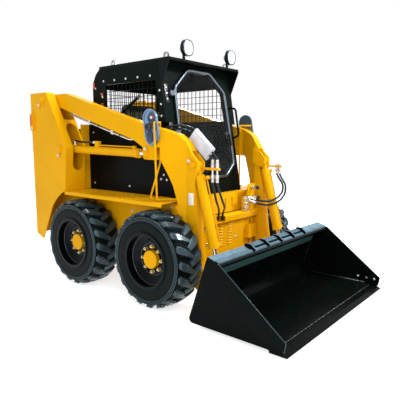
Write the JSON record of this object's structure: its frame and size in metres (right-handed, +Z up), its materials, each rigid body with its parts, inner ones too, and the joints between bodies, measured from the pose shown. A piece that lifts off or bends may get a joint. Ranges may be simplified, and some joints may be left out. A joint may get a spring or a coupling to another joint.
{
  "type": "skid steer loader",
  "caption": "Full-size skid steer loader with rear-pivoted lift arms, a hydraulic bucket, a caged cab with a front door, driven wheels and rear covers that open.",
  "frame": {"origin": "bounding box bottom centre, on the ground under the wheels", "axes": "-Y ahead towards the bucket, +X to the machine's left, +Z up"},
  "size_m": [1.685, 2.987, 2.1149],
  "materials": {
    "body_paint": "gloss yellow paint, lightly orange-peeled",
    "black_paint": "satin black paint",
    "gunmetal": "dark grey paint, satin",
    "engine_iron": "cast, painted dark",
    "chrome_rod": "hard chromed, polished",
    "bright_steel": "zinc plated",
    "worn_steel": "bare steel edge",
    "tyre": "black rubber",
    "hose_rubber": "braided black hose",
    "seat_vinyl": "dark vinyl",
    "cab_plastic": "textured black plastic",
    "lamp_red": "red lens",
    "lamp_white": "white lens in a bright rim",
    "glass": "clear flat glass"
  },
  "bodies": {
    "frame": {"chassis": "body_paint", "front_panel": "body_paint", "running_boards": "body_paint", "tower_left": "body_paint", "tower_right": "body_paint", "body_side_panels": "black_paint", "axle_housings": "black_paint", "engine": "engine_iron", "rear_bumper": "black_paint", "cab_frame": "black_paint", "cab_roof": "black_paint", "window_guards": "black_paint", "seat": "seat_vinyl", "seat_box": "cab_plastic", "control_levers": "cab_plastic", "work_lamps": "lamp_white", "tail_lamps": "lamp_red"},
    "loader_arms": {"arm_left": "body_paint", "arm_right": "body_paint", "arm_cross_tube": "body_paint", "lock_plates": "gunmetal", "prop_rods": "body_paint", "arm_hoses": "hose_rubber", "hose_fittings": "bright_steel"},
    "lift_barrels": {"lift_barrels": "body_paint", "lift_hoses": "hose_rubber"},
    "lift_rods": {"lift_rods": "chrome_rod"},
    "tilt_barrels": {"tilt_barrels": "body_paint"},
    "tilt_rods": {"tilt_rods": "chrome_rod"},
    "bucket": {"bucket_shell": "black_paint", "cutting_edge": "worn_steel", "coupler_frame": "body_paint"},
    "cab_door": {"cab_door_frame": "black_paint", "cab_door_glass": "glass"},
    "rear_door": {"rear_door": "body_paint"},
    "engine_hood": {"engine_hood": "black_paint"},
    "wheel_front_left": {"tyre_front_left": "tyre", "rim_front_left": "black_paint", "hub_front_left": "body_paint"},
    "wheel_front_right": {"tyre_front_right": "tyre", "rim_front_right": "black_paint", "hub_front_right": "body_paint"},
    "wheel_rear_left": {"tyre_rear_left": "tyre", "rim_rear_left": "black_paint", "hub_rear_left": "body_paint"},
    "wheel_rear_right": {"tyre_rear_right": "tyre", "rim_rear_right": "black_paint", "hub_rear_right": "body_paint"}
  },
  "joints": [
    {"name": "wheel_front_left_spin", "type": "hinge", "parent": "frame", "child": "wheel_front_left", "pos_m": [0.683, -0.2335, 0.3875], "axis": [1, 0, 0], "continuous": true},
    {"name": "wheel_front_right_spin", "type": "hinge", "parent": "frame", "child": "wheel_front_right", "pos_m": [-0.683, -0.2335, 0.3875], "axis": [-1, 0, 0], "continuous": true},
    {"name": "wheel_rear_left_spin", "type": "hinge", "parent": "frame", "child": "wheel_rear_left", "pos_m": [0.683, 0.7205, 0.3875], "axis": [1, 0, 0], "continuous": true},
    {"name": "wheel_rear_right_spin", "type": "hinge", "parent": "frame", "child": "wheel_rear_right", "pos_m": [-0.683, 0.7205, 0.3875], "axis": [-1, 0, 0], "continuous": true},
    {"name": "arm_lift", "type": "hinge", "parent": "frame", "child": "loader_arms", "pos_m": [0, 1.2055, 1.677], "axis": [-1, 0, 0], "range_deg": [0, 69]},
    {"name": "lift_barrel_swing", "type": "hinge", "parent": "frame", "child": "lift_barrels", "pos_m": [0, 0.9485, 1.225], "axis": [-1, 0, 0], "range_deg": [0, 69]},
    {"name": "lift_rod_slide", "type": "slide", "parent": "lift_barrels", "child": "lift_rods", "axis": [0, -0.9998, -0.0219], "range_m": [0, 0.59]},
    {"name": "bucket_tilt", "type": "hinge", "parent": "loader_arms", "child": "bucket", "pos_m": [0, -0.6215, 0.135], "axis": [1, 0, 0], "range_deg": [-25, 110]},
    {"name": "tilt_barrel_swing", "type": "hinge", "parent": "loader_arms", "child": "tilt_barrels", "pos_m": [0, -0.4815, 1.12], "axis": [-1, 0, 0], "range_deg": [-1, 3]},
    {"name": "tilt_rod_slide", "type": "slide", "parent": "tilt_barrels", "child": "tilt_rods", "axis": [0, -0.2567, -0.9665], "range_m": [-0.076, 0.33]},
    {"name": "cab_door_hinge", "type": "hinge", "parent": "frame", "child": "cab_door", "pos_m": [-0.392, -0.17093, 1.45411], "axis": [0, -0.1705, -0.9854], "range_deg": [0, 85]},
    {"name": "rear_door_hinge", "type": "hinge", "parent": "frame", "child": "rear_door", "pos_m": [0.512, 1.4815, 0.9], "axis": [0, 0, -1], "range_deg": [0, 100]},
    {"name": "engine_hood_hinge", "type": "hinge", "parent": "frame", "child": "engine_hood", "pos_m": [0, 0.8435, 1.432], "axis": [1, 0, 0], "range_deg": [0, 60]}
  ],
  "couplings": [
    {"joint": "lift_barrel_swing", "follows": "arm_lift", "ratio": 0.981},
    {"joint": "lift_rod_slide", "follows": "arm_lift", "m_per_rad": 0.4883},
    {"joint": "tilt_barrel_swing", "follows": "bucket_tilt", "ratio": 0.01},
    {"joint": "tilt_rod_slide", "follows": "bucket_tilt", "m_per_rad": 0.17}
  ]
}
